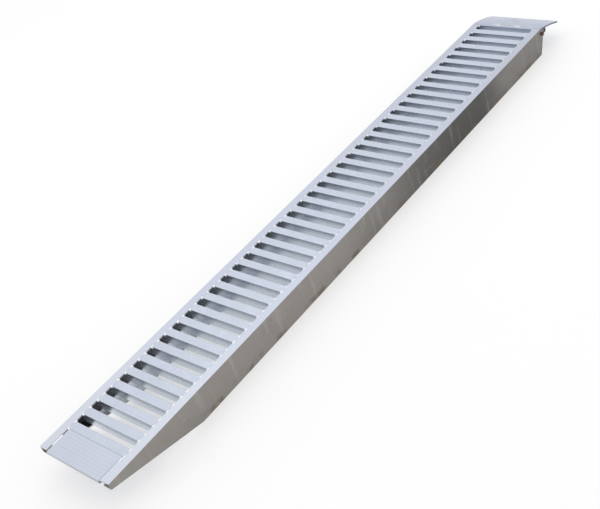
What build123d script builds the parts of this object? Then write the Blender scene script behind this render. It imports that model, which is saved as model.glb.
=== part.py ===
from build123d import *
import math
import os

# One-piece aluminium loading ramp, lying flat on its side rails.
# X runs across the ramp, Y along it from the toe to the lip, Z up.
# The origin is under the middle of the whole ramp, on the plane that the rails lie on.
# All sizes are in millimetres.

# ---- Driving dimensions ----
overall_width = 400.0

# Side rails: C-channels with their flanges turned inwards.
rail_depth = 140.0
rail_web = 5.0
rail_flange = 6.0
flange_width = 40.0
toe_tip_depth = 30.0        # rail depth left at the toe
taper_length = 447.0        # length of the taper under the toe
end_lean = 22.0             # degrees that the far end is cut back towards its foot
end_foot_setback = 20.0     # foot of the cut end, measured back from the lip's bend
end_corner_radius = 12.0
tip_corner_radius = 4.0

# Deck rungs: box tubes across the ramp.
rung_count = 40
rung_pitch = 77.5
rung_width = 39.0
rung_depth = 50.0
rung_wall = 3.0
rung_corner_radius = 2.0

# Toe plate: ribbed plate with a thicker nose.
toe_plate_length = 120.0
toe_plate_thickness = 8.0
toe_plate_side_slit = 8.0   # slit to the rail flange, bridged by stitch welds
toe_nose_depth = 16.0
toe_nose_width = 8.0
toe_nose_overhang = 6.0     # nose past the rail tips
toe_groove_count = 7
toe_groove_width = 1.5
toe_groove_depth = 0.6

# Lip plate: flat root between the rails with a leg folded down at its front,
# then a curved plate over the full width.
lip_thickness = 8.0
lip_root = 13.0
lip_leg_depth = 50.0        # from the deck down to the leg's lower edge
lip_leg_thickness = 8.0
lip_run = 184.0             # level distance from the bend to the tip
lip_start_slope = 9.5       # degrees down at the bend
lip_end_slope = 23.0        # degrees down at the tip
lip_corner_radius = 6.0
strap_slot_length = 52.0
strap_slot_width = 28.0
strap_slot_spacing = 119.0
strap_slot_setback = 15.0   # from the bend to the slot centres

# Stop lugs: flat bars bolted inside the rail webs, which stand out under the lip.
lug_thickness = 8.0
lug_height = 34.0
lug_reach = 59.0            # part past the lip's bend
lug_rung_gap = 6.0          # between the last rung and the lug
lug_foot_drop = 44.0        # lug's lower edge, below the deck
lug_corner_radius = 8.0
bolt_setback = 15.0         # bolt centre to the cut end of the rail
bolt_radius = 6.0
bolt_hole_clearance = 0.5
bolt_head_flats = 18.0
bolt_head_height = 7.5
washer_radius = 12.0
washer_thickness = 2.5
nut_height = 10.8
bolt_tail = 4.0             # thread past the nut

# Weld beads.
bead_width = 6.0
bead_facets = 5
bead_proud = 1.2            # height above the deck
bead_length = 15.0
bead_overrun = 5.0          # length of the bead past the rung's edge
stitch_length = 55.0
stitch_setback = 33.0       # toe nose to the start of the stitch

# Clearances.
weld_gap = 0.5              # between pieces that are welded together
lip_clearance = 0.5         # under the lip
thread_clearance = 0.05

# ---- Positions that follow ----
half_width = overall_width / 2
inner_half = half_width - flange_width
deck_top = rail_depth
deck_run = rung_count * rung_pitch
overall_length = toe_plate_length + weld_gap + deck_run + lip_root + lip_run
toe_y = -overall_length / 2
first_rung_y = toe_y + toe_plate_length + weld_gap
lip_root_y = first_rung_y + deck_run
bend_y = lip_root_y + lip_root
rail_tip_y = toe_y + toe_nose_overhang

tip_z = rail_depth - toe_tip_depth
knee_y = rail_tip_y + taper_length
taper_angle = math.atan2(tip_z, taper_length)
flange_over_taper = rail_flange / math.cos(taper_angle)

slope_start = math.radians(lip_start_slope)
slope_end = math.radians(lip_end_slope)
lip_radius = lip_run / (math.sin(slope_end) - math.sin(slope_start))
lip_centre_y = bend_y - lip_radius * math.sin(slope_start)
lip_centre_z = deck_top - lip_radius * math.cos(slope_start)

end_slope = math.tan(math.radians(end_lean))
end_foot_y = bend_y - end_foot_setback
last_rung_back_y = lip_root_y - rung_pitch + rung_width
under_lip_radius = lip_radius - lip_thickness - lip_clearance
lug_foot_z = deck_top - lug_foot_drop
bolt_z = lug_foot_z + lug_height / 3
bolt_y = end_foot_y + bolt_z * end_slope - bolt_setback


def profile(points):
    """Closed outline in the side view, as (y, z) points."""
    return Plane.YZ * make_face(Polyline(*points, close=True))


def across(face, x_from, x_to):
    """Side-view outline made solid from x_from to x_to."""
    return Pos(x_from, 0, 0) * extrude(face, amount=x_to - x_from, dir=(1, 0, 0))


def block(x_from, x_to, y_from, y_to, z_from, z_to):
    """Box between two corners."""
    size = (x_to - x_from, y_to - y_from, z_to - z_from)
    low = Align.MIN
    return Pos(x_from, y_from, z_from) * Box(*size, align=(low, low, low))


def mirrored(solid):
    """The same piece on the ramp's other side."""
    return mirror(solid, about=Plane.YZ)


def on_lip_arc(radius, angle):
    """Point (y, z) on an arc about the lip's centre, at an angle from upright."""
    return (lip_centre_y + radius * math.sin(angle), lip_centre_z + radius * math.cos(angle))


def lip_band(outer, inner, angle_from, angle_to):
    """Side-view outline between two arcs about the lip's centre."""
    middle = (angle_from + angle_to) / 2
    outer_points = [on_lip_arc(outer, a) for a in (angle_from, middle, angle_to)]
    inner_points = [on_lip_arc(inner, a) for a in (angle_to, middle, angle_from)]
    edges = [
        ThreePointArc(*outer_points),
        Line(outer_points[2], inner_points[0]),
        ThreePointArc(*inner_points),
        Line(inner_points[2], outer_points[0]),
    ]
    return Plane.YZ * make_face(edges)


def long_edges(solid, axis):
    """Edges that run along one axis."""
    return solid.edges().filter_by(axis)


def right_rail():
    """C-channel with a tapered toe, a leaning cut end and a seat for the lip."""
    outline = [
        (rail_tip_y, tip_z),
        (knee_y, 0),
        (end_foot_y, 0),
        (end_foot_y + rail_depth * end_slope, rail_depth),
        (rail_tip_y, rail_depth),
    ]
    rail = across(profile(outline), inner_half, half_width)

    # The pocket follows the top, the foot and the taper, one flange thickness in.
    past = rail_depth
    inner_knee_y = knee_y + rail_flange * math.tan(taper_angle / 2)
    pocket = [
        (rail_tip_y - past, tip_z + flange_over_taper + past * math.tan(taper_angle)),
        (inner_knee_y, rail_flange),
        (end_foot_y + rail_depth * end_slope + past, rail_flange),
        (end_foot_y + rail_depth * end_slope + past, rail_depth - rail_flange),
        (rail_tip_y - past, rail_depth - rail_flange),
    ]
    rail -= across(profile(pocket), inner_half - 1, half_width - rail_web)

    # Room for the lip over the end of the web.
    seat_y = bend_y - lip_thickness * math.sin(slope_start) - weld_gap
    seat_start = math.asin((seat_y - lip_centre_y) / under_lip_radius)
    seat = lip_band(under_lip_radius + 3 * lip_thickness, under_lip_radius, seat_start, slope_end)
    seat += profile([
        on_lip_arc(under_lip_radius, seat_start),
        (seat_y + lip_run, rail_depth),
        (seat_y, rail_depth + lip_thickness),
    ])
    rail -= across(seat, inner_half - 1, half_width + 1)

    rail -= bolt_hole(inner_half, half_width + 1)
    foot_corner = rail.edges().filter_by(Axis.X).sort_by_distance((half_width, end_foot_y, 0))[0]
    rail = fillet(foot_corner, end_corner_radius)
    tip_corner = rail.edges().filter_by(Axis.Z).sort_by_distance((half_width, rail_tip_y, rail_depth))[0]
    return fillet(tip_corner, tip_corner_radius)


def bolt_hole(x_from, x_to):
    """Clearance hole for a lug bolt."""
    hole = Cylinder(bolt_radius + bolt_hole_clearance, x_to - x_from, rotation=(0, 90, 0))
    return Pos((x_from + x_to) / 2, bolt_y, bolt_z) * hole


def rung():
    """Box tube whose ends are cut back to pass under the rail flanges."""
    reach = half_width - rail_web - weld_gap
    tube = block(-reach, reach, 0, rung_width, deck_top - rung_depth, deck_top)
    tube = fillet(long_edges(tube, Axis.X), rung_corner_radius)
    tube -= block(
        -half_width, half_width, rung_wall, rung_width - rung_wall,
        deck_top - rung_depth + rung_wall, deck_top - rung_wall,
    )
    cope_z = deck_top - rail_flange - weld_gap
    cope_x = inner_half - weld_gap
    tube -= block(cope_x, half_width, -1, rung_width + 1, cope_z, deck_top + 1)
    tube -= block(-half_width, -cope_x, -1, rung_width + 1, cope_z, deck_top + 1)
    return tube


def over_taper(y):
    """Height of the tapered flange's upper face."""
    return flange_over_taper + tip_z * (knee_y - y) / taper_length


def clear_of_taper(tube, y):
    """Rung whose near edge is at y, with its ends cut where the tapered flanges reach them."""
    if over_taper(y) + weld_gap <= deck_top - rung_depth:
        return tube
    under = profile([
        (y - 1, over_taper(y - 1) + weld_gap),
        (knee_y, over_taper(knee_y) + weld_gap),
        (knee_y, -1),
        (y - 1, -1),
    ])
    cope_x = inner_half - weld_gap
    tube -= across(under, cope_x, half_width)
    return tube - across(under, -half_width, -cope_x)


def toe_plate():
    """Grooved plate with a deeper nose along its front edge."""
    reach = inner_half - toe_plate_side_slit
    back_y = toe_y + toe_plate_length
    plate = block(-reach, reach, toe_y, back_y, deck_top - toe_plate_thickness, deck_top)
    plate += block(-reach, reach, toe_y, toe_y + toe_nose_width, deck_top - toe_nose_depth, deck_top)
    groove_pitch = toe_plate_length / (toe_groove_count + 1)
    for i in range(toe_groove_count):
        y = toe_y + (i + 1) * groove_pitch
        plate -= block(
            -reach, reach, y - toe_groove_width / 2, y + toe_groove_width / 2,
            deck_top - toe_groove_depth, deck_top + 1,
        )
    return plate


def lip_plate():
    """Flat root with a leg, then an arched full-width plate with two strap slots."""
    root_half = inner_half - weld_gap
    plate = across(lip_band(lip_radius, lip_radius - lip_thickness, slope_start, slope_end),
                   -half_width, half_width)
    plate += block(-root_half, root_half, lip_root_y, bend_y, deck_top - lip_thickness, deck_top)
    plate += block(
        -root_half, root_half, lip_root_y, lip_root_y + lip_leg_thickness,
        deck_top - lip_leg_depth, deck_top,
    )
    outer_corners = plate.edges().filter_by(
        lambda e: abs(e.center().Y - (bend_y + lip_run)) < lip_thickness and abs(e.center().X) > half_width - 1
    )
    plate = fillet(outer_corners, lip_corner_radius)
    slot = SlotOverall(strap_slot_length, strap_slot_width)
    for side in (-1, 1):
        place = Pos(side * strap_slot_spacing / 2, bend_y + strap_slot_setback, deck_top + 10)
        plate -= place * extrude(slot, amount=-lip_run)
    return plate


def right_lug():
    """Flat bar inside the rail web, cut to clear the lip above it."""
    web_face = half_width - rail_web
    bar = block(
        web_face - lug_thickness, web_face, last_rung_back_y + lug_rung_gap, bend_y + lug_reach,
        lug_foot_z, lug_foot_z + lug_height,
    )
    above = lip_band(under_lip_radius + lug_height, under_lip_radius, slope_start, slope_end)
    bar -= across(above, web_face - lug_thickness - 1, web_face + 1)
    foot = bar.edges().filter_by(Axis.X).group_by(Axis.Z)[0]
    bar = fillet(foot, lug_corner_radius)
    return bar - bolt_hole(web_face - lug_thickness - 1, web_face + 1)


def hexagon(flats, height):
    """Hexagonal prism along X, from the origin outwards."""
    outline = RegularPolygon(flats / 2, 6, major_radius=False)
    return extrude(Plane.YZ * outline, amount=height)


def right_bolt():
    """Hexagon bolt, head outside the web."""
    stack = rail_web + lug_thickness + washer_thickness + nut_height + bolt_tail
    shank = Cylinder(bolt_radius, stack, rotation=(0, 90, 0))
    bolt = Pos(half_width - stack / 2, bolt_y, bolt_z) * shank
    return bolt + Pos(half_width, bolt_y, bolt_z) * hexagon(bolt_head_flats, bolt_head_height)


def right_washer():
    """Plain washer under the nut."""
    ring = Cylinder(washer_radius, washer_thickness, rotation=(0, 90, 0))
    ring -= Cylinder(bolt_radius + bolt_hole_clearance, washer_thickness + 1, rotation=(0, 90, 0))
    inner_face = half_width - rail_web - lug_thickness
    return Pos(inner_face - washer_thickness / 2, bolt_y, bolt_z) * ring


def right_nut():
    """Hexagon nut against the washer."""
    nut_face = half_width - rail_web - lug_thickness - washer_thickness
    nut = Pos(nut_face - nut_height, bolt_y, bolt_z) * hexagon(bolt_head_flats, nut_height)
    bore = Cylinder(bolt_radius + thread_clearance, nut_height + 2, rotation=(0, 90, 0))
    return nut - Pos(nut_face - nut_height / 2, bolt_y, bolt_z) * bore


def bead(width, length, proud):
    """Low faceted bead along Y, standing on z = 0, from y = 0 backwards."""
    radius = ((width / 2) ** 2 + proud ** 2) / (2 * proud)
    half_angle = math.asin(width / 2 / radius)
    outline = []
    for i in range(bead_facets + 1):
        angle = half_angle * (1 - 2 * i / bead_facets)
        outline.append((radius * math.sin(angle), radius * (math.cos(angle) - math.cos(half_angle))))
    return extrude(Plane.XZ * make_face(Polyline(*outline, close=True)), amount=length, dir=(0, -1, 0))


def corner_bead():
    """Weld on a rung's right-hand back corner, with the rung's edge at y = 0."""
    crown = Pos(inner_half, bead_overrun, deck_top) * bead(bead_width, bead_length, bead_proud)
    root = block(inner_half - bead_width / 2, inner_half, 0, bead_overrun, deck_top - rail_flange, deck_top)
    return crown + root


def rung_beads():
    """Both corners of every rung's right-hand end."""
    back = corner_bead()
    front = mirror(back, about=Plane.XZ)
    beads = []
    for i in range(rung_count):
        y = first_rung_y + i * rung_pitch
        beads.append(Pos(0, y, 0) * front)
        beads.append(Pos(0, y + rung_width, 0) * back)
    return beads


def toe_stitch():
    """Stitch weld that fills the slit beside the toe plate."""
    slit_from = inner_half - toe_plate_side_slit
    stitch_from = toe_y + stitch_setback
    stitch_to = stitch_from + stitch_length
    crown = bead(toe_plate_side_slit, stitch_length, bead_proud)
    crown = Pos(slit_from + toe_plate_side_slit / 2, stitch_to, deck_top) * crown
    root = block(slit_from, inner_half, stitch_from, stitch_to, deck_top - rail_flange, deck_top)
    return crown + root


def lip_bead():
    """Weld at the near corner of the lip's root."""
    return Pos(0, lip_root_y, 0) * mirror(corner_bead(), about=Plane.XZ)


def save(name, *solids):
    """Write one node."""
    shape = solids[0] if len(solids) == 1 else Compound(children=list(solids))
    export_step(shape, os.path.join("parts", name + ".step"))


def both(solid):
    """A right-hand piece and its twin on the left."""
    return mirrored(solid), solid


os.makedirs("parts", exist_ok=True)

rail_pair = both(right_rail())
save("left_rail", rail_pair[0])
save("right_rail", rail_pair[1])

save("toe_plate", toe_plate())

one_rung = rung()
for number in range(1, rung_count + 1):
    rung_y = first_rung_y + (number - 1) * rung_pitch
    save(f"rung_{number:02d}", clear_of_taper(Pos(0, rung_y, 0) * one_rung, rung_y))

save("lip_plate", lip_plate())

lug_pair = both(right_lug())
save("stop_lug_left", lug_pair[0])
save("stop_lug_right", lug_pair[1])
save("lug_bolts", *both(right_bolt()))
save("lug_washers", *both(right_washer()))
save("lug_nuts", *both(right_nut()))

right_beads = rung_beads()
save("rung_welds_right", *right_beads)
save("rung_welds_left", *[mirrored(b) for b in right_beads])
save("toe_plate_welds", *both(toe_stitch()))
save("lip_welds", *both(lip_bead()))
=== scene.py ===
import math
import random

import bpy
from bpy.props import FloatProperty, FloatVectorProperty, IntProperty, PointerProperty
from mathutils import Matrix, Quaternion, Vector


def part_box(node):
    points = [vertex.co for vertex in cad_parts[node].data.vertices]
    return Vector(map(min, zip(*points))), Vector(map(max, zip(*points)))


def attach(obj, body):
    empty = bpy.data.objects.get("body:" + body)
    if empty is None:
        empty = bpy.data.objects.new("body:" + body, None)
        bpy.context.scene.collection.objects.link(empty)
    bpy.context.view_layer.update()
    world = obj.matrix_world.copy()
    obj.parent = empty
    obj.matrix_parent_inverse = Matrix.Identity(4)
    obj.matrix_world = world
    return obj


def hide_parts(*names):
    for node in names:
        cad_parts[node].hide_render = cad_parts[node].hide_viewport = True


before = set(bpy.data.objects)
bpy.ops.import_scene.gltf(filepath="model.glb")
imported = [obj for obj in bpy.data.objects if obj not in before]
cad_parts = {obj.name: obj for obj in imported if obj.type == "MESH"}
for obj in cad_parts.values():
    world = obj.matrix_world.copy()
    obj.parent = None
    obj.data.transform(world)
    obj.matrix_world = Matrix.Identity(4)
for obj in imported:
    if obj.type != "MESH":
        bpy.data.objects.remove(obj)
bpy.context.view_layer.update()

bl_info = {
    "name": "Loading ramp",
    "version": (1, 0, 0),
    "blender": (4, 5, 0),
    "location": "3D View > Sidebar > Ramp",
    "description": "Finishes, welds, fasteners and studio for an aluminium loading ramp",
    "category": "Object",
}

BODY = "root"
MILLIMETRE = 0.001
SIDES = {"left": -1, "right": 1}

# Nodes and places that come from model.glb
RUNGS = sorted(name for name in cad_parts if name.startswith("rung_") and name[-1].isdigit())
DECK_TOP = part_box(RUNGS[0])[1].z
FLANGE_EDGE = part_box("right_rail")[0].x
TOE_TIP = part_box("right_rail")[0].y
TOE_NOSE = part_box("toe_plate")[0].y
TOE_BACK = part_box("toe_plate")[1].y
LIP_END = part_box("lip_plate")[1].x
WEB_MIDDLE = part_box("right_rail")[1].x - 2.5 * MILLIMETRE

# Where the strap slots lie in the lip, with room to spare, along Y and to each side
SLOT_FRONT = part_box("lip_plate")[0].y + 12 * MILLIMETRE
SLOT_BACK = SLOT_FRONT + 32 * MILLIMETRE
SLOT_REACH = 90 * MILLIMETRE

# Meshes
MERGE_DISTANCE = 0.002 * MILLIMETRE
FLAT_ANGLE = math.radians(0.4)
SHARP_ANGLE = math.radians(32)
SMOOTH_ANGLE = math.radians(38)
BEAD_SIDES = 8

# Width of the camera's sensor in millimetres, as its lens is given
SENSOR_WIDTH = 36.0

# Colours that the masks mix into a metal's main colour
WEB_CLOUD = (0.36, 0.345, 0.32)
WEB_DIRT = (0.14, 0.125, 0.105)
WEB_RUN = (0.45, 0.44, 0.41)
FLANGE_LINE = (0.5, 0.54, 0.63)
# Painted shade: these two grade the flange tops darker along the ramp towards the lip
FLANGE_COOL = (0.50, 0.545, 0.68)
FLANGE_SHADED = (0.43, 0.475, 0.58)
RAIL_TIP = (0.2, 0.19, 0.175)
RAIL_RUBBED = (0.7, 0.72, 0.76)
RUNG_LINE = (0.46, 0.5, 0.6)
RUNG_CLOUD = (0.68, 0.72, 0.8)
RUNG_SCRATCH = (0.74, 0.77, 0.84)
RUNG_DIRT = (0.28, 0.27, 0.26)
# Painted light and shade: rung walls lighter low down and darker up near the deck
RUNG_WALL_LIT_LOW = (0.72, 0.775, 0.855)
RUNG_WALL_SHADED_HIGH = (0.40, 0.435, 0.5)
PLATE_LINE = (0.45, 0.49, 0.59)
PLATE_CLOUD = (0.58, 0.62, 0.72)
PLATE_DIRT = (0.26, 0.25, 0.24)
PLATE_RUBBED = (0.76, 0.79, 0.85)
LIP_SIDE = (0.10, 0.10, 0.105)
TOE_FRONT = (0.16, 0.15, 0.14)
# Painted light: the strap slot walls are a bright dull white
SLOT_WALL_PAINTED_LIGHT = (0.93, 0.94, 0.96)
WELD_SOOT = (0.42, 0.41, 0.42)
WELD_HOLLOW = (0.6, 0.6, 0.63)
WELD_GROUND = (0.58, 0.62, 0.72)
LUG_RUBBED = (0.1, 0.1, 0.11)
BOLT_PLATING = (0.36, 0.34, 0.31)

# Stretches along the ramp, in metres along Y, over which a shade comes or goes
# Painted dark reflection: a dark stretch of the webs that fades in and partly clears again near the lip
WEB_REFLECTION_DARKENS = (-0.45, 0.72)
WEB_REFLECTION_CLEARS = (0.86, 1.16)
# Painted shade: the flange tops darken along these two stretches
FLANGE_COOLS = (-1.35, -0.8)
FLANGE_SHADE_SPAN = (-0.2, 1.6)
# Painted shade high in the rail channels starts here, clear of the toe
CHANNEL_SHADE_STARTS = (-1.575, -1.555)
CHANNEL_TIP_ENDS = (-1.70, -1.64)
TOE_GRINDING_ENDS = (TOE_BACK - 30 * MILLIMETRE, TOE_BACK - 6 * MILLIMETRE)

# Heights over the floor, in metres, over which a shade comes or goes
STAIN_ENDS = (0.012, 0.035)
# Painted shade high in the rail channels rises over this height
CHANNEL_SHADE_RISES = (0.050, 0.062)
# Painted shade on the rung walls grows towards the deck over this height
RUNG_WALL_SHADE_SPAN = (0.108, 0.139)


# ---- Settings ----

class RampFinish(bpy.types.PropertyGroup):
    """Colours of the ramp's metals."""

    # Painted light: the flange tops are the lit copy of the rail's metal
    rail_top_lit: FloatVectorProperty(
        name="Flange colour", description="Upper flanges of the side rails, painted lighter as lit",
        default=(0.61, 0.65, 0.75), subtype="COLOR", min=0, max=1)
    # Painted shade: the webs are the shaded copy of the rail's metal
    rail_web_shaded: FloatVectorProperty(
        name="Web colour", description="Webs of the side rails, painted darker as shaded",
        default=(0.275, 0.255, 0.240), subtype="COLOR", min=0, max=1)
    # Painted dark reflection on the webs near the lip
    rail_dark_reflection: FloatVectorProperty(
        name="Dark band colour", description="Painted dark reflection on the webs near the lip",
        default=(0.068, 0.067, 0.066), subtype="COLOR", min=0, max=1)
    rail_stain: FloatVectorProperty(
        name="Stain colour", description="Brown marks along the foot of the webs",
        default=(0.16, 0.12, 0.075), subtype="COLOR", min=0, max=1)
    # Painted light on bare metal low inside the channels
    channel_lit_low: FloatVectorProperty(
        name="Channel colour", description="Bare metal low inside the rail channels, painted light",
        default=(0.93, 0.94, 0.96), subtype="COLOR", min=0, max=1)
    # Painted shade high inside the channels, under the deck
    channel_painted_shade: FloatVectorProperty(
        name="Channel shade colour", description="Painted shade high inside the rail channels, under the deck",
        default=(0.05, 0.05, 0.055), subtype="COLOR", min=0, max=1)
    deck: FloatVectorProperty(
        name="Rung colour", description="Bright extruded rungs",
        default=(0.585, 0.63, 0.735), subtype="COLOR", min=0, max=1)
    plate: FloatVectorProperty(
        name="Plate colour", description="Satin toe plate and lip plate",
        default=(0.455, 0.495, 0.615), subtype="COLOR", min=0, max=1)
    weld: FloatVectorProperty(
        name="Weld colour", description="Bright weld beads",
        default=(0.93, 0.93, 0.96), subtype="COLOR", min=0, max=1)
    lug: FloatVectorProperty(
        name="Lug colour", description="Dark hot-rolled steel of the stop lugs",
        default=(0.05, 0.05, 0.055), subtype="COLOR", min=0, max=1)
    rust: FloatVectorProperty(
        name="Rust colour", description="Rust on the lug bolts, nuts and washers",
        default=(0.155, 0.085, 0.06), subtype="COLOR", min=0, max=1)
    old_rust: FloatVectorProperty(
        name="Old rust colour", description="Darker rust in the hollows",
        default=(0.06, 0.034, 0.026), subtype="COLOR", min=0, max=1)


class RampShape(bpy.types.PropertyGroup):
    """Sizes that finish the ramp's edges, welds and fasteners."""

    rail_edge: FloatProperty(
        name="Rail edge radius", description="Rounding of the extruded rail's edges",
        default=0.8 * MILLIMETRE, unit="LENGTH", min=0)
    plate_edge: FloatProperty(
        name="Plate edge radius", description="Rounding of the toe and lip plates",
        default=0.5 * MILLIMETRE, unit="LENGTH", min=0)
    lug_edge: FloatProperty(
        name="Lug edge radius", description="Rounding of the sheared steel bars",
        default=0.6 * MILLIMETRE, unit="LENGTH", min=0)
    fastener_edge: FloatProperty(
        name="Fastener edge radius", description="Rounding of the bolts, washers and nuts",
        default=0.5 * MILLIMETRE, unit="LENGTH", min=0)
    bead_width: FloatProperty(
        name="Bead width", description="Width of the round bar that a rung's weld bead is made from",
        default=12.0 * MILLIMETRE, unit="LENGTH", min=0)
    bead_spread: FloatProperty(
        name="Bead spread", description="Sideways stretch of the beads at the rungs and the lip",
        default=1.5, subtype="FACTOR", min=0.1)
    bead_crown: FloatProperty(
        name="Bead crown", description="Height of a weld bead over the deck",
        default=1.1 * MILLIMETRE, unit="LENGTH", min=0)
    bead_ripple: FloatProperty(
        name="Bead ripple", description="Length of one ripple along a weld bead",
        default=3.0 * MILLIMETRE, unit="LENGTH", min=0)
    ripple_depth: FloatProperty(
        name="Ripple depth", description="Share of the bead's radius lost between ripples",
        default=0.16, subtype="FACTOR", min=0, max=1)
    bead_end: FloatProperty(
        name="Bead end", description="Share of the bead's radius that is left at its ends",
        default=0.55, subtype="FACTOR", min=0, max=1)
    bead_overrun: FloatProperty(
        name="Bead overrun", description="Length of a rung's bead past the rung's edge",
        default=5.0 * MILLIMETRE, unit="LENGTH", min=0)
    bead_length: FloatProperty(
        name="Rung bead length", description="Length of one weld bead at a rung's corner",
        default=15.0 * MILLIMETRE, unit="LENGTH", min=0)
    seed: IntProperty(
        name="Seed", description="Seed of the small differences between weld beads", default=7)


class RampStudio(bpy.types.PropertyGroup):
    """Floor, lights and camera."""

    camera_place: FloatVectorProperty(
        name="Camera place", description="Where the camera stands",
        default=(2.626, -2.594, 2.587), subtype="XYZ", unit="LENGTH")
    camera_aim: FloatVectorProperty(
        name="Camera aim", description="Point that the camera looks at",
        default=(0.0126, -0.3718, 0.07), subtype="XYZ", unit="LENGTH")
    camera_roll: FloatProperty(
        name="Camera roll", description="Turn of the camera about its own line of sight",
        default=math.radians(-19.13), subtype="ANGLE")
    camera_lens: FloatProperty(
        name="Focal length", description="Focal length in millimetres", default=58.7, min=1)
    floor_size: FloatProperty(
        name="Floor size", description="Side of the square floor", default=60.0, unit="LENGTH")
    floor_colour: FloatVectorProperty(
        name="Floor colour", description="Colour of the pale floor",
        default=(0.48, 0.48, 0.48), subtype="COLOR", min=0, max=1)
    floor_glow: FloatVectorProperty(
        name="Floor glow", description="Light that the floor gives off, as a light table does",
        default=(0.47, 0.47, 0.47), subtype="COLOR", min=0, max=1)
    sky: FloatProperty(
        name="Sky strength", description="Strength of the even white surroundings", default=1.0, min=0)
    key: FloatProperty(
        name="Key power", description="Power of the overhead soft light", default=25.0, unit="POWER")
    key_size: FloatProperty(
        name="Key size", description="Diameter of the overhead soft light", default=4.0, unit="LENGTH")
    key_place: FloatVectorProperty(
        name="Key place", description="Where the overhead soft light hangs, aimed at the origin",
        default=(-1.0, 1.0, 4.5), subtype="XYZ", unit="LENGTH")


# ---- Selecting and shaping ----

def clear_selection():
    """Leave nothing selected, in object mode."""
    if bpy.context.object and bpy.context.object.mode != "OBJECT":
        bpy.ops.object.mode_set(mode="OBJECT")
    bpy.ops.object.select_all(action="DESELECT")


def make_active(piece):
    """Leave only this piece selected, in object mode."""
    clear_selection()
    piece.select_set(True)
    bpy.context.view_layer.objects.active = piece


def edit(piece, kind="VERT"):
    """Open a piece for editing with everything selected."""
    make_active(piece)
    bpy.ops.object.mode_set(mode="EDIT")
    bpy.ops.mesh.select_mode(type=kind)
    bpy.ops.mesh.select_all(action="SELECT")


def select_vertices(piece, test):
    """Select, in edit mode, the vertices whose place passes a test."""
    bpy.ops.mesh.select_all(action="DESELECT")
    bpy.ops.object.mode_set(mode="OBJECT")
    for vertex in piece.data.vertices:
        vertex.select = test(vertex.co)
    bpy.ops.object.mode_set(mode="EDIT")


def apply_modifiers(piece):
    """Apply a piece's modifiers, in order."""
    make_active(piece)
    for modifier in list(piece.modifiers):
        bpy.ops.object.modifier_apply(modifier=modifier.name)


def merged_copy(node, name):
    """A new piece with a CAD node's shape, its triangles merged into whole faces."""
    piece = bpy.data.objects.new(name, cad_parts[node].data.copy())
    bpy.context.scene.collection.objects.link(piece)
    piece.data.materials.clear()
    make_active(piece)
    bpy.ops.mesh.customdata_custom_splitnormals_clear()
    edit(piece)
    bpy.ops.mesh.remove_doubles(threshold=MERGE_DISTANCE)
    bpy.ops.mesh.dissolve_limited(angle_limit=FLAT_ANGLE)
    bpy.ops.object.mode_set(mode="OBJECT")
    return piece


def round_edges(piece, radius):
    """Round every sharp edge and mark the new faces as worn edges."""
    edit(piece, "EDGE")
    bpy.ops.mesh.select_all(action="DESELECT")
    bpy.ops.mesh.edges_select_sharp(sharpness=SHARP_ANGLE)
    bpy.ops.mesh.bevel(offset=radius, segments=2, profile=0.5, clamp_overlap=True)
    bpy.ops.object.mode_set(mode="OBJECT")
    worn = piece.data.attributes.new("worn_edge", "FLOAT", "FACE")
    worn.data.foreach_set("value", [1.0 if face.select else 0.0 for face in piece.data.polygons])
    smooth(piece)


def smooth(piece):
    """Smooth shading that keeps flat faces flat."""
    make_active(piece)
    bpy.ops.object.shade_smooth_by_angle(angle=SMOOTH_ANGLE)
    piece.modifiers.new("flat faces", "WEIGHTED_NORMAL").keep_sharp = True
    apply_modifiers(piece)


def ringed_bar(name, radius, length, sides, rings, factor):
    """Bar along Y from the origin, cut into rings that factor(share of the length) scales."""
    clear_selection()
    bpy.ops.mesh.primitive_cylinder_add(
        vertices=sides, radius=radius, depth=length, location=(0, length / 2, 0),
        rotation=(math.pi / 2, 0, 0))
    bar = bpy.context.object
    bar.name = name
    bpy.ops.object.transform_apply(location=True, rotation=True, scale=True)
    for ring in range(1, rings):
        edit(bar)
        bpy.ops.mesh.bisect(plane_co=(0, length * ring / rings, 0), plane_no=(0, 1, 0))
    for ring in range(rings + 1):
        y = length * ring / rings
        select_vertices(bar, lambda co: abs(co.y - y) < length / rings / 4)
        scale = factor(ring / rings)
        bpy.ops.transform.resize(value=(scale, 1, scale), center_override=(0, y, 0))
    edit(bar)
    bpy.ops.mesh.normals_make_consistent(inside=False)
    bpy.ops.object.mode_set(mode="OBJECT")
    return bar


def placed_copy(piece, matrix, name):
    """A copy of a piece with its own mesh, moved by a matrix."""
    copy = bpy.data.objects.new(name, piece.data.copy())
    copy.data.transform(matrix)
    if matrix.determinant() < 0:
        copy.data.flip_normals()
    bpy.context.scene.collection.objects.link(copy)
    return copy


def join(pieces, name):
    """One piece out of several."""
    make_active(pieces[0])
    for piece in pieces[1:]:
        piece.select_set(True)
    bpy.ops.object.join()
    joined = bpy.context.object
    edit(joined)
    bpy.ops.mesh.normals_make_consistent(inside=False)
    bpy.ops.object.mode_set(mode="OBJECT")
    joined.name = name
    joined.data.name = name
    return joined


def give(piece, material, *nodes, slot=None):
    """Finish a piece: its material, the body that it rides on and the nodes that it stands for."""
    piece.data.materials.clear()
    piece.data.materials.append(material)
    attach(piece, BODY)
    if nodes:
        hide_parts(*nodes)


# ---- Shader groups ----

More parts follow.
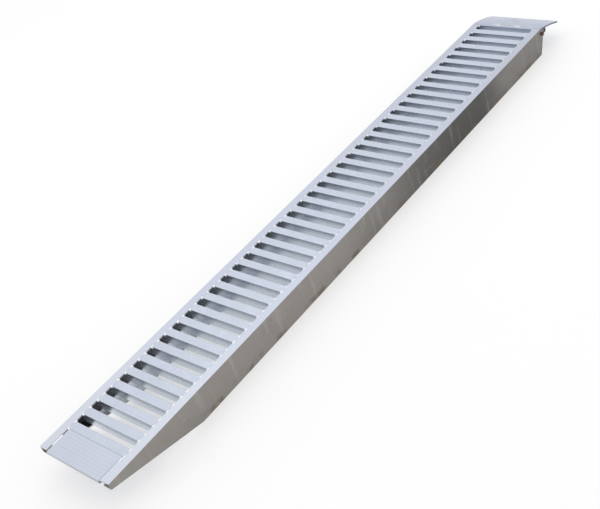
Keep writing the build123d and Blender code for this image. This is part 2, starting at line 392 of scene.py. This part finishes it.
class Nodes:
    """Adds nodes to a tree and links them."""

    def __init__(self, tree):
        self.tree = tree

    def add(self, kind, inputs=None, **settings):
        node = self.tree.nodes.new(kind)
        for key, value in settings.items():
            setattr(node, key, value)
        for key, value in (inputs or {}).items():
            self.feed(node.inputs[key], value)
        return node

    def feed(self, socket, value):
        if isinstance(value, bpy.types.NodeSocket):
            self.tree.links.new(value, socket)
        else:
            socket.default_value = value

    def math(self, operation, a, b=0.0):
        return self.add("ShaderNodeMath", {0: a, 1: b}, operation=operation).outputs[0]

    def times(self, a, b):
        return self.math("MULTIPLY", a, b)

    def plus(self, a, b):
        return self.math("ADD", a, b)

    def minus(self, a, b):
        return self.math("SUBTRACT", a, b)

    def larger(self, a, b):
        return self.math("MAXIMUM", a, b)

    def ramp(self, value, low, high, to_low=0.0, to_high=1.0):
        """Smooth step of a value between two levels."""
        return self.add("ShaderNodeMapRange", {
            "Value": value, "From Min": low, "From Max": high, "To Min": to_low, "To Max": to_high},
            interpolation_type="SMOOTHSTEP").outputs["Result"]

    def noise(self, vector, scale, detail=4.0, roughness=0.55, distortion=0.0):
        return self.add("ShaderNodeTexNoise", {
            "Vector": vector, "Scale": scale, "Detail": detail, "Roughness": roughness,
            "Distortion": distortion}).outputs["Fac"]

    def stretch(self, vector, scale):
        return self.add("ShaderNodeVectorMath", {0: vector, 1: scale}, operation="MULTIPLY").outputs[0]

    def mix(self, factor, a, b):
        """Mix two colours, each a socket or three numbers."""
        node = self.add("ShaderNodeMix", data_type="RGBA")
        self.feed(node.inputs[0], factor)
        self.feed(node.inputs[6], a if isinstance(a, bpy.types.NodeSocket) else (*a, 1))
        self.feed(node.inputs[7], b if isinstance(b, bpy.types.NodeSocket) else (*b, 1))
        return node.outputs[2]

    def group(self, tree, inputs):
        node = self.add("ShaderNodeGroup", node_tree=tree)
        for key, value in inputs.items():
            self.feed(node.inputs[key], value)
        return node


def new_group(name, inputs, outputs):
    """Node group with named sockets; inputs and outputs are {name: socket kind}."""
    tree = bpy.data.node_groups.new(name, "ShaderNodeTree")
    for key, kind in inputs.items():
        tree.interface.new_socket(key, in_out="INPUT", socket_type="NodeSocket" + kind)
    for key, kind in outputs.items():
        tree.interface.new_socket(key, in_out="OUTPUT", socket_type="NodeSocket" + kind)
    nodes = Nodes(tree)
    return nodes, nodes.add("NodeGroupInput").outputs, nodes.add("NodeGroupOutput").inputs


def extrusion_group():
    """Fine lines that a die draws along an extrusion, and slow changes of its shade."""
    nodes, given, out = new_group(
        "extrusion lines", {"Vector": "Vector", "Stretch": "Vector", "Cloud Scale": "Float"},
        {"Lines": "Float", "Cloud": "Float"})
    lined = nodes.stretch(given["Vector"], given["Stretch"])
    fine = nodes.noise(lined, 1.0, detail=5.0, roughness=0.7)
    coarse = nodes.noise(lined, 0.22, detail=2.0)
    nodes.feed(out["Lines"], nodes.plus(nodes.times(fine, 0.6), nodes.times(coarse, 0.4)))
    nodes.feed(out["Cloud"], nodes.noise(given["Vector"], given["Cloud Scale"], detail=3.0))
    return nodes.tree


def scuff_group():
    """Short scratches and worn patches."""
    nodes, given, out = new_group(
        "scuffs", {"Vector": "Vector", "Scale": "Float"}, {"Scratches": "Float", "Patches": "Float"})
    bent = nodes.stretch(given["Vector"], (1.0, 0.12, 1.0))
    long_marks = nodes.noise(bent, nodes.times(given["Scale"], 6.0), detail=2.0, distortion=0.6)
    cross = nodes.noise(nodes.stretch(given["Vector"], (0.12, 1.0, 1.0)),
                        nodes.times(given["Scale"], 7.0), detail=2.0, distortion=0.4)
    marks = nodes.larger(nodes.ramp(long_marks, 0.66, 0.72), nodes.ramp(cross, 0.68, 0.74))
    patches = nodes.noise(given["Vector"], given["Scale"], detail=6.0, roughness=0.65)
    nodes.feed(out["Patches"], nodes.ramp(patches, 0.48, 0.66))
    nodes.feed(out["Scratches"], marks)
    return nodes.tree


def grime_group():
    """Thin dirt that gathers in spots and streaks."""
    nodes, given, out = new_group("grime", {"Vector": "Vector", "Scale": "Float"}, {"Dirt": "Float"})
    cloud = nodes.noise(given["Vector"], given["Scale"], detail=8.0, roughness=0.7)
    dots = nodes.noise(given["Vector"], nodes.times(given["Scale"], 9.0), detail=3.0)
    blots = nodes.ramp(cloud, 0.5, 0.72)
    specks = nodes.ramp(dots, 0.6, 0.7)
    nodes.feed(out["Dirt"], nodes.larger(nodes.times(blots, 0.7), nodes.times(specks, 0.5)))
    return nodes.tree


def rust_group():
    """Rust in two shades with a pitted surface."""
    nodes, given, out = new_group(
        "rust", {"Vector": "Vector", "Scale": "Float"},
        {"Shade": "Float", "Bare": "Float", "Pits": "Float"})
    cloud = nodes.noise(given["Vector"], given["Scale"], detail=8.0, roughness=0.7)
    nodes.feed(out["Shade"], nodes.ramp(cloud, 0.35, 0.65))
    patches = nodes.noise(given["Vector"], nodes.times(given["Scale"], 0.6))
    nodes.feed(out["Bare"], nodes.ramp(patches, 0.62, 0.7))
    nodes.feed(out["Pits"], nodes.noise(given["Vector"], nodes.times(given["Scale"], 6.0), detail=4.0))
    return nodes.tree


def shared_group(name, build):
    """The named group, built the first time that it is asked for."""
    return bpy.data.node_groups.get(name) or build()


# ---- Materials ----

def new_material(name, **constants):
    """A material whose Principled sockets take constants here and are fed by the caller."""
    material = bpy.data.materials.new(name)
    material.use_nodes = True
    nodes = Nodes(material.node_tree)
    shader = material.node_tree.nodes["Principled BSDF"].inputs
    for socket, value in constants.items():
        shader[socket].default_value = value
    place = nodes.add("ShaderNodeTexCoord").outputs["Object"]
    return material, nodes, shader, place


def bump(nodes, height, strength, distance):
    """Surface normal that a height gives."""
    return nodes.add("ShaderNodeBump", {
        "Height": height, "Strength": strength, "Distance": distance}).outputs["Normal"]


def face_mark(nodes, name):
    """One of a piece's own face attributes: worn_edge or slot_wall."""
    return nodes.add("ShaderNodeAttribute", attribute_name=name).outputs["Fac"]


def rail_metal(finish):
    """Webs painted darker as shade, a painted dark reflection near the lip, brown stains at the feet,
    flange tops painted lighter as lit, painted shade high in the channels and painted light low in
    them.
    """
    material, nodes, shader, place = new_material("rail aluminium")
    x, y, z = nodes.add("ShaderNodeSeparateXYZ", {"Vector": place}).outputs
    lines = nodes.group(shared_group("extrusion lines", extrusion_group), {
        "Vector": place, "Stretch": (900.0, 5.0, 900.0), "Cloud Scale": 2.2}).outputs
    scuffs = nodes.group(shared_group("scuffs", scuff_group), {"Vector": place, "Scale": 9.0}).outputs
    dirt = nodes.group(
        shared_group("grime", grime_group), {"Vector": place, "Scale": 7.0}).outputs["Dirt"]

    # Painted dark reflection: a dark stretch along the webs, with a wavering edge
    wander = nodes.times(nodes.minus(nodes.noise(place, 3.0), 0.5), 0.25)
    along = nodes.plus(y, wander)
    darkening = nodes.ramp(along, *WEB_REFLECTION_DARKENS)
    clearing = nodes.ramp(along, *WEB_REFLECTION_CLEARS, 1.0, 0.36)
    dark = nodes.times(nodes.times(darkening, clearing), 0.92)
    foot = nodes.ramp(z, *STAIN_ENDS, 1.0, 0.0)
    stain = nodes.times(nodes.times(foot, nodes.ramp(nodes.noise(place, 11.0), 0.5, 0.62)), 0.7)

    web = nodes.mix(nodes.times(lines["Cloud"], 0.28), finish.rail_web_shaded, WEB_CLOUD)
    web = nodes.mix(dark, web, finish.rail_dark_reflection)
    web = nodes.mix(stain, web, finish.rail_stain)
    web = nodes.mix(nodes.times(dirt, 0.25), web, WEB_DIRT)
    runs = nodes.noise(nodes.stretch(place, (1.0, 26.0, 2.5)), 1.0, detail=3.0)
    web = nodes.mix(nodes.ramp(runs, 0.56, 0.7, 0.0, 0.22), web, WEB_RUN)

    top = nodes.mix(nodes.times(lines["Lines"], 0.22), finish.rail_top_lit, FLANGE_LINE)
    # Painted shade: the flange tops grade darker towards the lip
    top = nodes.mix(nodes.ramp(y, *FLANGE_COOLS), top, FLANGE_COOL)
    top = nodes.mix(nodes.ramp(y, *FLANGE_SHADE_SPAN), top, FLANGE_SHADED)
    # Painted light and shade: the top faces take the lit flange colour, the rest the shaded web colour
    lit_top = nodes.ramp(z, DECK_TOP - 1.2 * MILLIMETRE, DECK_TOP - 0.3 * MILLIMETRE)

    across = nodes.math("ABSOLUTE", x)
    inner_face = nodes.times(
        nodes.ramp(across, FLANGE_EDGE + 0.5 * MILLIMETRE, FLANGE_EDGE + MILLIMETRE),
        nodes.ramp(across, WEB_MIDDLE, WEB_MIDDLE + MILLIMETRE, 1.0, 0.0))
    # Painted shade high inside the channels and painted light low in them, on the inner faces
    shade_in_channel = nodes.times(nodes.ramp(z, *CHANNEL_SHADE_RISES), nodes.ramp(y, *CHANNEL_SHADE_STARTS))
    low = nodes.mix(nodes.ramp(y, *CHANNEL_TIP_ENDS, 0.85, 0.0), finish.channel_lit_low, RAIL_TIP)
    web = nodes.mix(inner_face, web, nodes.mix(shade_in_channel, low, finish.channel_painted_shade))
    tip = nodes.ramp(y, TOE_TIP + 0.4 * MILLIMETRE, TOE_TIP + 1.2 * MILLIMETRE, 0.8, 0.0)
    web = nodes.mix(tip, web, RAIL_TIP)
    bright = nodes.larger(nodes.times(face_mark(nodes, "worn_edge"), 0.35),
                          nodes.times(scuffs["Scratches"], 0.06))
    nodes.feed(shader["Base Color"], nodes.mix(bright, nodes.mix(lit_top, web, top), RAIL_RUBBED))
    nodes.feed(shader["Roughness"], nodes.plus(nodes.times(scuffs["Patches"], 0.1), 0.34))
    # The inner faces are made less metallic, so that the painted light low in them shows
    hidden = nodes.times(inner_face, nodes.minus(1.0, lit_top))
    nodes.feed(shader["Metallic"], nodes.minus(1.0, nodes.times(hidden, 0.45)))
    height = nodes.plus(lines["Lines"], nodes.times(scuffs["Scratches"], -0.5))
    nodes.feed(shader["Normal"], bump(nodes, height, 0.25, 0.15 * MILLIMETRE))
    return material


def deck_metal(finish):
    """Bright rungs with die lines along them, scratched by tyres and tracks; walls painted lighter low
    down and darker near the top as painted light and shade.
    """
    material, nodes, shader, place = new_material("rung aluminium")
    lines = nodes.group(shared_group("extrusion lines", extrusion_group), {
        "Vector": place, "Stretch": (4.0, 700.0, 700.0), "Cloud Scale": 5.0}).outputs
    scuffs = nodes.group(shared_group("scuffs", scuff_group), {"Vector": place, "Scale": 14.0}).outputs
    dirt = nodes.group(
        shared_group("grime", grime_group), {"Vector": place, "Scale": 11.0}).outputs["Dirt"]
    z = nodes.add("ShaderNodeSeparateXYZ", {"Vector": place}).outputs["Z"]
    side = nodes.ramp(z, DECK_TOP - 1.0 * MILLIMETRE, DECK_TOP - 0.2 * MILLIMETRE, 1.0, 0.0)
    colour = nodes.mix(nodes.times(lines["Lines"], 0.3), finish.deck, RUNG_LINE)
    colour = nodes.mix(nodes.times(lines["Cloud"], 0.2), colour, RUNG_CLOUD)
    colour = nodes.mix(nodes.times(scuffs["Scratches"], 0.3), colour, RUNG_SCRATCH)
    # Painted light and shade: rung walls are lighter low down and darker near the top
    wall = nodes.mix(nodes.ramp(z, *RUNG_WALL_SHADE_SPAN), RUNG_WALL_LIT_LOW, RUNG_WALL_SHADED_HIGH)
    colour = nodes.mix(side, colour, wall)
    nodes.feed(shader["Base Color"], nodes.mix(nodes.times(dirt, 0.1), colour, RUNG_DIRT))
    patchy = nodes.times(scuffs["Patches"], nodes.minus(0.12, nodes.times(side, 0.1)))
    nodes.feed(shader["Roughness"], nodes.plus(patchy, 0.26))
    nodes.feed(shader["Metallic"], nodes.minus(1.0, nodes.times(side, 0.2)))
    height = nodes.plus(lines["Lines"], nodes.times(scuffs["Scratches"], -0.6))
    nodes.feed(shader["Normal"], bump(nodes, height, 0.12, 0.1 * MILLIMETRE))
    return material


def plate_metal(finish):
    """Satin rolled plate with smears, bright worn edges, dark ends and slot walls painted white as
    painted light.
    """
    material, nodes, shader, place = new_material("plate aluminium")
    lines = nodes.group(shared_group("extrusion lines", extrusion_group), {
        "Vector": place, "Stretch": (6.0, 420.0, 420.0), "Cloud Scale": 6.0}).outputs
    scuffs = nodes.group(shared_group("scuffs", scuff_group), {"Vector": place, "Scale": 12.0}).outputs
    dirt = nodes.group(
        shared_group("grime", grime_group), {"Vector": place, "Scale": 8.0}).outputs["Dirt"]
    colour = nodes.mix(nodes.times(lines["Lines"], 0.25), finish.plate, PLATE_LINE)
    colour = nodes.mix(nodes.times(lines["Cloud"], 0.2), colour, PLATE_CLOUD)
    colour = nodes.mix(nodes.times(dirt, 0.16), colour, PLATE_DIRT)
    x, y, _ = nodes.add("ShaderNodeSeparateXYZ", {"Vector": place}).outputs
    end = nodes.ramp(nodes.math("ABSOLUTE", x), LIP_END - 0.5 * MILLIMETRE, LIP_END - 0.1 * MILLIMETRE)
    colour = nodes.mix(nodes.times(end, 0.85), colour, LIP_SIDE)
    nose = nodes.ramp(y, TOE_NOSE + 0.2 * MILLIMETRE, TOE_NOSE + 0.8 * MILLIMETRE, 0.85, 0.0)
    colour = nodes.mix(nose, colour, TOE_FRONT)
    bright = nodes.larger(nodes.times(face_mark(nodes, "worn_edge"), 0.4),
                          nodes.times(scuffs["Scratches"], 0.3))
    colour = nodes.mix(bright, colour, PLATE_RUBBED)
    # Painted light: the strap slot walls are painted a bright, non-metallic white
    cut = face_mark(nodes, "slot_wall")
    nodes.feed(shader["Base Color"], nodes.mix(cut, colour, SLOT_WALL_PAINTED_LIGHT))
    nodes.feed(shader["Metallic"], nodes.minus(1.0, cut))
    nodes.feed(shader["Roughness"], nodes.plus(nodes.times(scuffs["Patches"], 0.14), 0.3))
    height = nodes.plus(lines["Lines"], nodes.times(scuffs["Scratches"], -0.6))
    nodes.feed(shader["Normal"], bump(nodes, height, 0.25, 0.15 * MILLIMETRE))
    return material


def weld_metal(finish):
    """Bright rippled bead with dark dirt spots; the right toe bead is ground down and greyer."""
    material, nodes, shader, place = new_material("weld metal", Metallic=1.0)
    dirt = nodes.group(
        shared_group("grime", grime_group), {"Vector": place, "Scale": 60.0}).outputs["Dirt"]
    ripple = nodes.add("ShaderNodeTexWave", {
        "Vector": place, "Scale": 160.0, "Distortion": 2.0, "Detail": 2.0, "Detail Scale": 1.5},
        bands_direction="Y").outputs["Fac"]
    colour = nodes.mix(nodes.times(dirt, 0.3), finish.weld, WELD_SOOT)
    colour = nodes.mix(nodes.times(ripple, 0.15), colour, WELD_HOLLOW)
    x, y, _ = nodes.add("ShaderNodeSeparateXYZ", {"Vector": place}).outputs
    on_right = nodes.ramp(x, 0.0, 0.01)
    ground = nodes.times(on_right, nodes.ramp(y, *TOE_GRINDING_ENDS, 0.85, 0.0))
    colour = nodes.mix(ground, colour, WELD_GROUND)
    front = nodes.ramp(y, TOE_NOSE + 2 * MILLIMETRE, TOE_NOSE + 4 * MILLIMETRE, 0.85, 0.0)
    nodes.feed(shader["Base Color"], nodes.mix(front, colour, TOE_FRONT))
    nodes.feed(shader["Roughness"], nodes.plus(nodes.times(dirt, 0.25), 0.2))
    nodes.feed(shader["Normal"], bump(nodes, ripple, 0.35, 0.2 * MILLIMETRE))
    return material


def lug_metal(finish):
    """Dark mill scale with rust at the edges."""
    material, nodes, shader, place = new_material("lug steel", Metallic=0.75)
    rust = nodes.group(shared_group("rust", rust_group), {"Vector": place, "Scale": 70.0}).outputs
    scuffs = nodes.group(shared_group("scuffs", scuff_group), {"Vector": place, "Scale": 30.0}).outputs
    edge = nodes.times(face_mark(nodes, "worn_edge"), 0.6)
    spots = nodes.larger(nodes.times(rust["Bare"], 0.55), edge)
    colour = nodes.mix(nodes.times(scuffs["Patches"], 0.4), finish.lug, LUG_RUBBED)
    nodes.feed(shader["Base Color"], nodes.mix(spots, colour, finish.old_rust))
    nodes.feed(shader["Roughness"], nodes.plus(nodes.times(rust["Shade"], 0.2), 0.42))
    nodes.feed(shader["Normal"], bump(nodes, rust["Pits"], 0.35, 0.25 * MILLIMETRE))
    return material


def rusty_metal(finish):
    """Rusty fasteners with a little plating left."""
    material, nodes, shader, place = new_material("rusty steel")
    rust = nodes.group(shared_group("rust", rust_group), {"Vector": place, "Scale": 160.0}).outputs
    left = nodes.times(rust["Bare"], 0.8)
    colour = nodes.mix(rust["Shade"], finish.old_rust, finish.rust)
    nodes.feed(shader["Base Color"], nodes.mix(left, colour, BOLT_PLATING))
    nodes.feed(shader["Metallic"], left)
    nodes.feed(shader["Roughness"], nodes.minus(0.82, nodes.times(left, 0.4)))
    nodes.feed(shader["Normal"], bump(nodes, rust["Pits"], 0.5, 0.3 * MILLIMETRE))
    return material


def floor_paint(studio):
    """Plain pale floor with the faintest mottling, which gives off a little light."""
    material, nodes, shader, place = new_material("pale floor", **{
        "Roughness": 0.85, "Emission Color": (*studio.floor_glow, 1), "Emission Strength": 1.0})
    pale = tuple(studio.floor_colour)
    darker = tuple(0.95 * channel for channel in pale)
    cloud = nodes.times(nodes.noise(place, 1.5, detail=3.0), 0.1)
    nodes.feed(shader["Base Color"], nodes.mix(cloud, pale, darker))
    return material


# ---- Operators ----

class RAMP_OT_rails(bpy.types.Operator):
    """Side rails with rounded extruded edges, in aluminium with painted shade on the webs and painted
    light on the flange tops
    """

    bl_idname = "ramp.rails"
    bl_label = "Side rails"

    def execute(self, context):
        scene = context.scene
        metal = rail_metal(scene.ramp_finish)
        for side in SIDES:
            rail = merged_copy(f"{side}_rail", f"{side}_channel_rail")
            round_edges(rail, scene.ramp_shape.rail_edge)
            give(rail, metal, f"{side}_rail", slot="rail_aluminium")
        return {"FINISHED"}


class RAMP_OT_rungs(bpy.types.Operator):
    """Deck rungs in bright extruded aluminium"""

    bl_idname = "ramp.rungs"
    bl_label = "Deck rungs"

    def execute(self, context):
        metal = deck_metal(context.scene.ramp_finish)
        for name in RUNGS:
            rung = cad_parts[name]
            rung.data.materials.clear()
            rung.data.materials.append(metal)
        return {"FINISHED"}


class RAMP_OT_plates(bpy.types.Operator):
    """Toe plate and lip plate with softened edges"""

    bl_idname = "ramp.plates"
    bl_label = "Toe and lip plates"

    def execute(self, context):
        scene = context.scene
        metal = plate_metal(scene.ramp_finish)
        for node, name in (("toe_plate", "toe_tread"), ("lip_plate", "curved_lip")):
            plate = merged_copy(node, name)
            round_edges(plate, scene.ramp_shape.plate_edge)
            self.mark_slots(plate)
            give(plate, metal, node, slot="plate_aluminium")
        return {"FINISHED"}

    def mark_slots(self, plate):
        """Mark the walls of the strap slots, the only steep faces near the slots."""
        def is_wall(face):
            return (abs(face.normal.z) < 0.8 and abs(face.center.x) < SLOT_REACH
                    and SLOT_FRONT < face.center.y < SLOT_BACK)

        walls = plate.data.attributes.new("slot_wall", "FLOAT", "FACE")
        walls.data.foreach_set("value", [1.0 if is_wall(face) else 0.0 for face in plate.data.polygons])


class RAMP_OT_lugs(bpy.types.Operator):
    """Stop lugs of dark steel bar"""

    bl_idname = "ramp.lugs"
    bl_label = "Stop lugs"

    def execute(self, context):
        scene = context.scene
        metal = lug_metal(scene.ramp_finish)
        for side in SIDES:
            lug = merged_copy(f"stop_lug_{side}", f"lug_bar_{side}")
            round_edges(lug, scene.ramp_shape.lug_edge)
            give(lug, metal, f"stop_lug_{side}", slot="lug_steel")
        return {"FINISHED"}


class RAMP_OT_fasteners(bpy.types.Operator):
    """Lug bolts, washers and nuts with softened edges"""

    bl_idname = "ramp.fasteners"
    bl_label = "Bolts, washers and nuts"

    def execute(self, context):
        scene = context.scene
        metal = rusty_metal(scene.ramp_finish)
        names = {"lug_bolts": "hex_bolts", "lug_washers": "plain_washers", "lug_nuts": "hex_nuts"}
        for node, name in names.items():
            piece = merged_copy(node, name)
            round_edges(piece, scene.ramp_shape.fastener_edge)
            give(piece, metal, node, slot="rusty_steel")
        return {"FINISHED"}


class RAMP_OT_welds(bpy.types.Operator):
    """Rippled weld beads at the rungs, the toe plate and the lip"""

    bl_idname = "ramp.welds"
    bl_label = "Weld beads"

    def bead(self, shape, name, width, length):
        """Bead along Y from the origin; its axis lies below the deck, so only its crown stands out."""
        half = width / 2
        ripples = max(2, round(length / shape.bead_ripple))
        rings = 2 * ripples

        def factor(share):
            end = min(share, 1 - share) * rings
            if end < 0.5:
                return shape.bead_end
            return 1 - shape.ripple_depth * (round(share * rings) % 2)

        bar = ringed_bar(name, half, length, BEAD_SIDES, rings, factor)
        bar.data.transform(Matrix.Translation((0, 0, DECK_TOP + shape.bead_crown - half)))
        make_active(bar)
        bpy.ops.object.shade_smooth()
        return bar

    def execute(self, context):
        scene = context.scene
        shape = scene.ramp_shape
        metal = weld_metal(scene.ramp_finish)
        chance = random.Random(shape.seed)

        model = self.bead(shape, "bead_model", shape.bead_width, shape.bead_length)
        for side, sign in SIDES.items():
            beads = []
            for name in RUNGS:
                low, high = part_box(name)
                for edge, back in ((low.y, -1), (high.y, 1)):
                    beads.append(self.at_corner(model, shape, chance, sign, edge, back))
            give(join(beads, f"rung_beads_{side}"), metal, f"rung_welds_{side}", slot="weld_metal")

        lip_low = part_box("lip_plate")[0]
        ends = [self.at_corner(model, shape, chance, sign, lip_low.y, -1) for sign in SIDES.values()]
        give(join(ends, "lip_beads"), metal, "lip_welds", slot="weld_metal")
        bpy.data.objects.remove(model)

        low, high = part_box("toe_plate_welds")
        slit = high.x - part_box("toe_plate")[1].x
        middle = high.x - slit / 2
        run_from, run_to = TOE_NOSE + 1.5 * MILLIMETRE, TOE_BACK - 2 * MILLIMETRE
        stitches = []
        for side, start, end in ((-1, low.y, high.y), (1, run_from, run_to)):
            stitch = self.bead(shape, "stitch", slit + 1.5 * MILLIMETRE, end - start)
            stitch.data.transform(Matrix.Translation((side * middle, start, 0)))
            stitches.append(stitch)
        give(join(stitches, "toe_beads"), metal, "toe_plate_welds", slot="weld_metal")
        return {"FINISHED"}

    def at_corner(self, model, shape, chance, sign, edge, back):
        """One bead at a rung's corner, a little different from the next.

        sign is the side along X, edge the rung's edge along Y, and back the way past that edge.
        """
        length = chance.uniform(0.9, 1.2)
        width = chance.uniform(0.9, 1.05)
        start = edge + back * shape.bead_overrun
        sideways = sign * FLANGE_EDGE + chance.uniform(-0.5, 0.5) * MILLIMETRE
        drop = chance.uniform(-0.25, 0.0) * MILLIMETRE
        spread = width * shape.bead_spread
        scaled = Matrix.Diagonal((spread, -back * length, 1, 1))
        return placed_copy(model, Matrix.Translation((sideways, start, drop)) @ scaled, "bead")


class RAMP_OT_studio(bpy.types.Operator):
    """Pale floor, soft lights and the camera"""

    bl_idname = "ramp.studio"
    bl_label = "Studio"

    def execute(self, context):
        scene = context.scene
        studio = scene.ramp_studio
        scene.view_settings.view_transform = "Standard"

        clear_selection()
        bpy.ops.mesh.primitive_plane_add(size=studio.floor_size, location=(0, 0, 0))
        floor = context.object
        floor.name = "floor"
        floor.data.materials.append(floor_paint(studio))

        world = bpy.data.worlds.new("even white")
        world.use_nodes = True
        background = world.node_tree.nodes["Background"]
        background.inputs["Color"].default_value = (1, 1, 1, 1)
        background.inputs["Strength"].default_value = studio.sky
        scene.world = world

        light = bpy.data.lights.new("overhead softbox", "AREA")
        light.shape = "DISK"
        light.size = studio.key_size
        light.energy = studio.key
        lamp = bpy.data.objects.new("overhead softbox", light)
        lamp.location = studio.key_place
        lamp.rotation_euler = (Vector((0, 0, 0)) - lamp.location).to_track_quat("-Z", "Y").to_euler()
        scene.collection.objects.link(lamp)

        lens = bpy.data.cameras.new("camera")
        lens.sensor_width = SENSOR_WIDTH
        lens.lens = studio.camera_lens
        camera = bpy.data.objects.new("camera", lens)
        place, aim = Vector(studio.camera_place), Vector(studio.camera_aim)
        camera.location = place
        camera.rotation_mode = "QUATERNION"
        look = (aim - place).to_track_quat("-Z", "Y")
        camera.rotation_quaternion = look @ Quaternion((0, 0, 1), studio.camera_roll)
        scene.collection.objects.link(camera)
        scene.camera = camera
        return {"FINISHED"}


class RAMP_PT_panel(bpy.types.Panel):
    """Buttons and settings for the ramp."""

    bl_idname = "RAMP_PT_panel"
    bl_label = "Loading ramp"
    bl_space_type = "VIEW_3D"
    bl_region_type = "UI"
    bl_category = "Ramp"

    def draw(self, context):
        layout = self.layout
        for operator in OPERATORS:
            layout.operator(operator.bl_idname)
        for group in (context.scene.ramp_finish, context.scene.ramp_shape, context.scene.ramp_studio):
            column = layout.column()
            for name in group.__annotations__:
                column.prop(group, name)


OPERATORS = (
    RAMP_OT_rails, RAMP_OT_rungs, RAMP_OT_plates, RAMP_OT_lugs,
    RAMP_OT_fasteners, RAMP_OT_welds, RAMP_OT_studio,
)
GROUPS = {"ramp_finish": RampFinish, "ramp_shape": RampShape, "ramp_studio": RampStudio}


def register():
    for cls in (*GROUPS.values(), *OPERATORS, RAMP_PT_panel):
        bpy.utils.register_class(cls)
    for name, cls in GROUPS.items():
        setattr(bpy.types.Scene, name, PointerProperty(type=cls))


def unregister():
    for name in GROUPS:
        delattr(bpy.types.Scene, name)
    for cls in (RAMP_PT_panel, *reversed(OPERATORS), *reversed(list(GROUPS.values()))):
        bpy.utils.unregister_class(cls)


def main():
    register()
    bpy.ops.ramp.rails()
    bpy.ops.ramp.rungs()
    bpy.ops.ramp.plates()
    bpy.ops.ramp.lugs()
    bpy.ops.ramp.fasteners()
    bpy.ops.ramp.welds()
    bpy.ops.ramp.studio()


if __name__ == "__main__":
    main()
